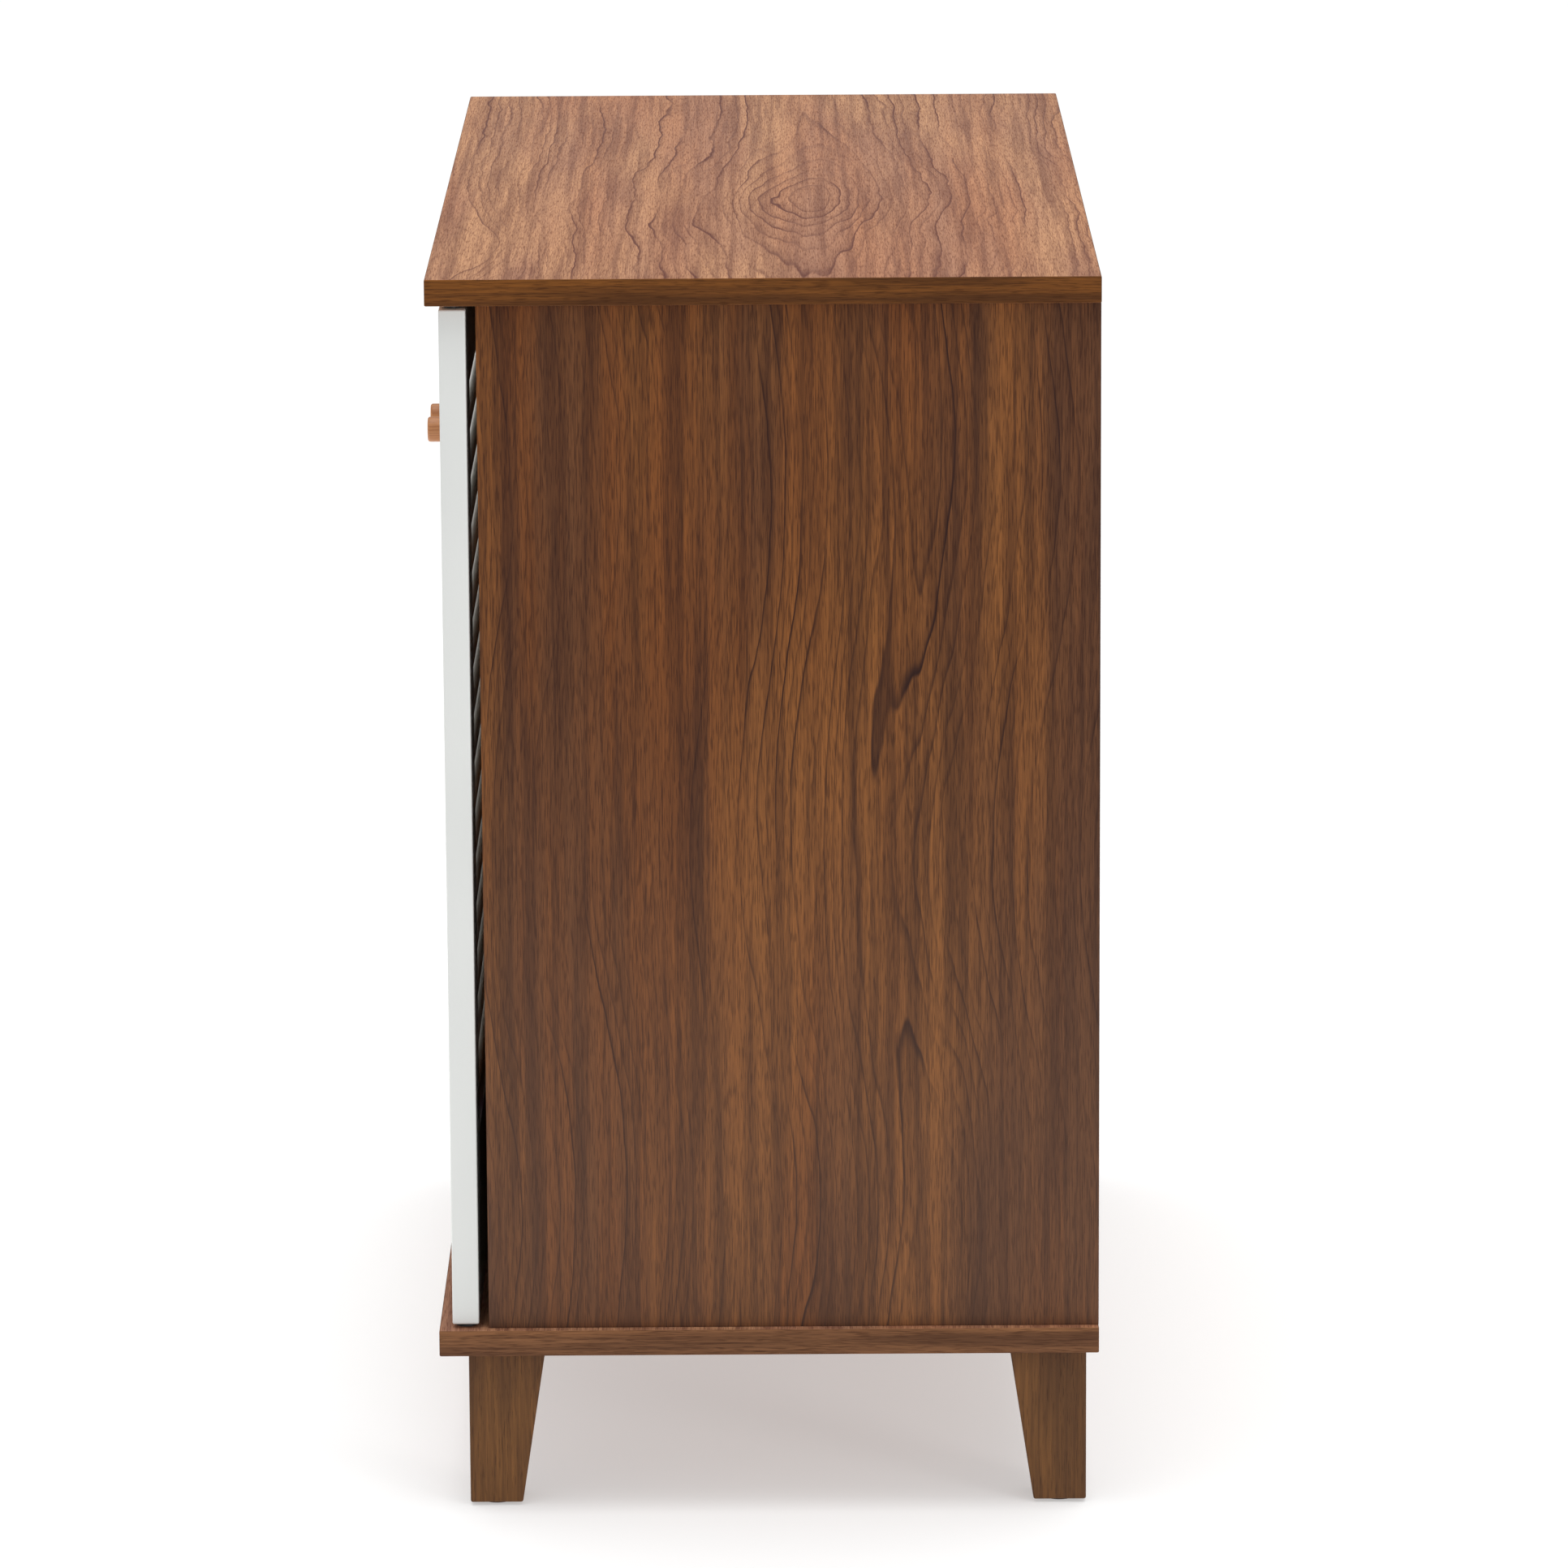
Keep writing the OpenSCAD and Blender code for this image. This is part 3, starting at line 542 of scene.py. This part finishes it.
LEG_TOP = 0.047
LEG_FOOT = 0.032
LEG_EASE = 0.0012
for name in ("front_left_leg", "front_right_leg", "back_left_leg", "back_right_leg"):
    low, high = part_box(name)
    outer = Vector((low.x if low.x < 0 else high.x, low.y if low.y < 0 else high.y, low.z))
    leg = board(name + "_turned", low, high, ease=0.0)
    choose(leg, "VERT", lambda corners: corners[0].z < low.z + 0.001)
    shrink = LEG_FOOT / LEG_TOP
    bpy.ops.transform.resize(value=(shrink, shrink, 1), center_override=outer)
    choose(leg, "EDGE", lambda corners: True)
    bpy.ops.mesh.bevel(offset=LEG_EASE, segments=3, affect="EDGES")
    bpy.ops.object.mode_set(mode="OBJECT")
    bpy.ops.object.shade_smooth_by_angle(angle=SMOOTH_ANGLE)
    veneer(leg, (leg_wood, anywhere))
    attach(leg, "carcass")
    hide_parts(name)

# ---------------------------------------------------------------- plastic fittings
# Black nylon glides under the legs, black nylon bushes for the door pivots, and the brown housing of
# the magnetic catch with its two ferrite magnets. All are moulded, with a fine matt skin.


def moulded(name, colour, rough):
    material, place = new_material(name)
    skin = place.noise((1400.0, 1400.0, 1400.0), 2, 4.0)
    cloud = place.noise((60.0, 60.0, 60.0), 2, 7.0)
    lighter = rgb(*[value * 1.35 + 0.004 for value in colour])
    surface(place, cloud.blend(rgb(*colour), lighter), rough + skin * 0.12, skin, 0.00008)
    return material


black_nylon = moulded("black_nylon", (0.018, 0.018, 0.019), 0.42)
brown_plastic = moulded("brown_plastic", (0.075, 0.045, 0.028), 0.38)
ferrite = moulded("ferrite", (0.060, 0.060, 0.066), 0.55)
finish_nodes(black_nylon, "leg_glides", "pivot_bushes")
finish_nodes(brown_plastic, "catch_housing")
finish_nodes(ferrite, "catch_magnets")

# ---------------------------------------------------------------- door frames
# Stiles and rails glued up on dowels, sanded flush and sprayed with white satin lacquer. The outer
# arrises are rounded to about a millimetre, and a hair line shows where the rails meet the stiles.
white_lacquer, place = new_material("white_lacquer")
peel = place.noise((420.0, 420.0, 420.0), 2, 2.0)
cloud = place.noise((6.0, 6.0, 6.0), 2, 5.0).ramp((0.35, 0.0), (0.65, 1.0))
sprayed = cloud.blend(rgb(0.668, 0.679, 0.662), rgb(0.642, 0.654, 0.637))
surface(place, sprayed, 0.28 + peel * 0.12, peel, 0.00005, Specular_IOR_Level=0.45)

OUTER_EASE = 0.0011
JOINT_EASE = 0.00018
SAME_PLACE = 1e-5
TOUCHING = 0.001
CROSSWISE = 0.01


def finish_door_piece(piece, side_name, node, finish=white_lacquer):
    veneer(piece, (finish, anywhere))
    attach(piece, side_name + "_door")
    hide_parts(side_name + "_" + node)


for side, side_name in ((-1, "left"), (1, "right")):
    for node in ("hinge_stile", "meeting_stile"):
        low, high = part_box(side_name + "_" + node)
        rail_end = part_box(side_name + "_top_rail")[1].x
        joint_x = low.x if abs(low.x - rail_end) < TOUCHING else high.x
        stile = board(side_name + "_" + node + "_bar", low, high, OUTER_EASE,
                      lambda corners: not all(abs(corner.x - joint_x) < SAME_PLACE for corner in corners))
        finish_door_piece(stile, side_name, node)
    for node, outer_end in (("top_rail", 1), ("bottom_rail", 0)):
        low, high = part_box(side_name + "_" + node)
        outer_z = (low.z, high.z)[outer_end]
        rail = board(side_name + "_" + node + "_bar", low, high, OUTER_EASE,
                     lambda corners: all(abs(corner.z - outer_z) < SAME_PLACE for corner in corners)
                     and abs(corners[0].x - corners[1].x) > CROSSWISE)
        choose(rail, "EDGE", lambda corners: abs(corners[0].x - corners[1].x) < SAME_PLACE
               and not all(abs(corner.z - outer_z) < OUTER_EASE * 1.01 for corner in corners))
        bpy.ops.mesh.bevel(offset=JOINT_EASE, segments=2, affect="EDGES")
        bpy.ops.object.mode_set(mode="OBJECT")
        finish_door_piece(rail, side_name, node)

# ---------------------------------------------------------------- louvre slats
# Flat white bars with fully round edges, steep, with their front edge low. Their ends are let into
# the stiles. One slat is shaped and then repeated up the door.
slat_lacquer, place = new_material("slat_lacquer")
peel = place.noise((420.0, 420.0, 420.0), 2, 8.0)
cloud = place.noise((6.0, 6.0, 6.0), 2, 3.0).ramp((0.35, 0.0), (0.65, 1.0))
# The slats' white is lighter and warmer than the frames' lacquer: painted light, for the light that falls
# through the louvres.
lit_slat_white = cloud.blend(rgb(0.80, 0.79, 0.75), rgb(0.77, 0.76, 0.72))
surface(place, lit_slat_white, 0.62 + peel * 0.12, peel, 0.00004, Specular_IOR_Level=0.12)

SLAT_TILT = math.radians(65)
SLAT_THICK = 0.006
SLAT_EASE = SLAT_THICK * 0.495
SLAT_COUNT = 16
for side_name in ("left", "right"):
    low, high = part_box(side_name + "_slats")
    flat = (high.y - low.y - SLAT_THICK) / math.cos(SLAT_TILT)
    rise = flat * math.sin(SLAT_TILT) + SLAT_THICK
    step = (high.z - low.z - rise) / (SLAT_COUNT - 1)
    middle = Vector(((low.x + high.x) / 2, (low.y + high.y) / 2, low.z + rise / 2))
    slat_size = (high.x - low.x, flat + SLAT_THICK, SLAT_THICK)
    nothing_selected()
    bpy.ops.mesh.primitive_cube_add(size=1, location=middle, rotation=(SLAT_TILT, 0, 0), scale=slat_size)
    slats = settle(side_name + "_slat_bars")
    choose(slats, "EDGE", lambda corners: abs(corners[0].x - corners[1].x) > CROSSWISE)
    bpy.ops.mesh.bevel(offset=SLAT_EASE, segments=7, affect="EDGES")
    bpy.ops.mesh.select_all(action="SELECT")
    for repeat in range(SLAT_COUNT - 1):
        bpy.ops.mesh.duplicate_move(TRANSFORM_OT_translate={"value": (0, 0, step)})
    bpy.ops.object.mode_set(mode="OBJECT")
    bpy.ops.object.shade_smooth_by_angle(angle=SMOOTH_ANGLE)
    finish_door_piece(slats, side_name, "slats", slat_lacquer)

# ---------------------------------------------------------------- knobs
# Turned from a reddish hardwood: a narrow foot, a flare, a straight head and a rounded rim. Each one
# is held by a screw from the back of its stile.
knob_wood, place = new_material("knob_wood")
point, _, across = wood_place(place, "Y")
sway = point.noise((25.0, 90.0, 90.0), 2, 6.0) - 0.5
rings = (across + sway * 0.006) / 0.0022
late = rings.apply("FRACT").ramp((0.0, 0.2), (0.2, 0.0), (0.8, 1.0), (1.0, 0.2))
fibre = point.noise((120.0, 1500.0, 1500.0), 2, 3.0)
red = (late * 0.5 + fibre * 0.4).blend(rgb(0.50, 0.225, 0.095), rgb(0.30, 0.110, 0.042))
surface(place, red, 0.36 + fibre * 0.12, fibre, 0.00008, Specular_IOR_Level=0.3)

KNOB_OUTLINE = (
    (0.00576, 0.0020), (0.0080, 0.0090), (0.0080, 0.0209), (0.00788, 0.02151), (0.00753, 0.02203),
    (0.00701, 0.02238), (0.0064, 0.0225), (0.0030, 0.0225))
for side_name in ("left", "right"):
    low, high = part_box(side_name + "_knob")
    axis = Vector(((low.x + high.x) / 2, high.y, (low.z + high.z) / 2))
    nothing_selected()
    bpy.ops.mesh.primitive_circle_add(
        vertices=48, radius=KNOB_OUTLINE[0][0], fill_type="NGON", location=axis,
        rotation=(math.pi / 2, 0, 0))
    knob = settle(side_name + "_turned_knob")
    bpy.ops.object.mode_set(mode="EDIT")
    bpy.ops.mesh.select_all(action="SELECT")
    radius, reach = KNOB_OUTLINE[0][0], 0
    for next_radius, next_reach in KNOB_OUTLINE:
        bpy.ops.mesh.extrude_region_move(TRANSFORM_OT_translate={"value": (0, reach - next_reach, 0)})
        grow = next_radius / radius
        bpy.ops.transform.resize(value=(grow, 1, grow), center_override=axis)
        radius, reach = next_radius, next_reach
    bpy.ops.mesh.select_all(action="SELECT")
    bpy.ops.mesh.normals_make_consistent(inside=False)
    bpy.ops.object.mode_set(mode="OBJECT")
    bpy.ops.object.shade_smooth_by_angle(angle=SMOOTH_ANGLE)
    knob.data.materials.append(knob_wood)
    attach(knob, side_name + "_door")
    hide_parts(side_name + "_knob")
    finish_nodes(zinc_plate, side_name + "_knob_screw", side_name + "_strike_plate",
                 side_name + "_strike_screw")

# ---------------------------------------------------------------- studio
# A plain white floor without an end in view, an even white room, three large soft lights and a wide
# light from the whole ceiling. The floor and the room glow a little, so the floor runs into the room.
FLOOR_SPAN = 80
FLOOR_GREY = rgb(0.60, 0.60, 0.60)
FLOOR_GLOW = 0.42
ROOM_GLOW = 0.55
CEILING_POWER = 1.35
CEILING_SPREAD = math.radians(60)
white = rgb(1, 1, 1)
floor_paint, place = new_material("studio_floor")
surface(place, FLOOR_GREY, 0.9, Specular_IOR_Level=0.0, Emission_Color=white, Emission_Strength=FLOOR_GLOW)
nothing_selected()
bpy.ops.mesh.primitive_plane_add(size=FLOOR_SPAN, location=(0, 0, 0))
floor = settle("studio_floor")
floor.data.materials.append(floor_paint)

world = bpy.data.worlds.new("studio")
bpy.context.scene.world = world
world.use_nodes = True
world.node_tree.nodes["Background"].inputs["Color"].default_value = white
world.node_tree.nodes["Background"].inputs["Strength"].default_value = ROOM_GLOW


def soft_light(name, stands, aim, size, power):
    """A square lamp that stands in one place and aims at another. The camera doesn't see it."""
    light = bpy.data.lights.new(name, "AREA")
    light.shape = "SQUARE"
    light.size = size
    light.energy = power
    lamp = bpy.data.objects.new(name, light)
    lamp.visible_camera = False
    bpy.context.scene.collection.objects.link(lamp)
    turn = (Vector(stands) - Vector(aim)).to_track_quat("Z", "Y")
    lamp.matrix_world = Matrix.Translation(stands) @ turn.to_matrix().to_4x4()


soft_light("overhead", (0.0, 0.0, 3.6), (0, 0, 0.5), 3.0, 55)
soft_light("low_front", (0.0, -1.3, 0.03), (0, -1.3, 1.0), 2.0, 9)
soft_light("behind", (3.6, 3.4, 1.2), (0.4, 0, 0.45), 1.2, 40)
ceiling = bpy.data.lights.new("ceiling", "SUN")
ceiling.energy = CEILING_POWER
ceiling.angle = CEILING_SPREAD
bpy.context.scene.collection.objects.link(bpy.data.objects.new("ceiling", ceiling))
bpy.context.scene.view_settings.view_transform = "Standard"
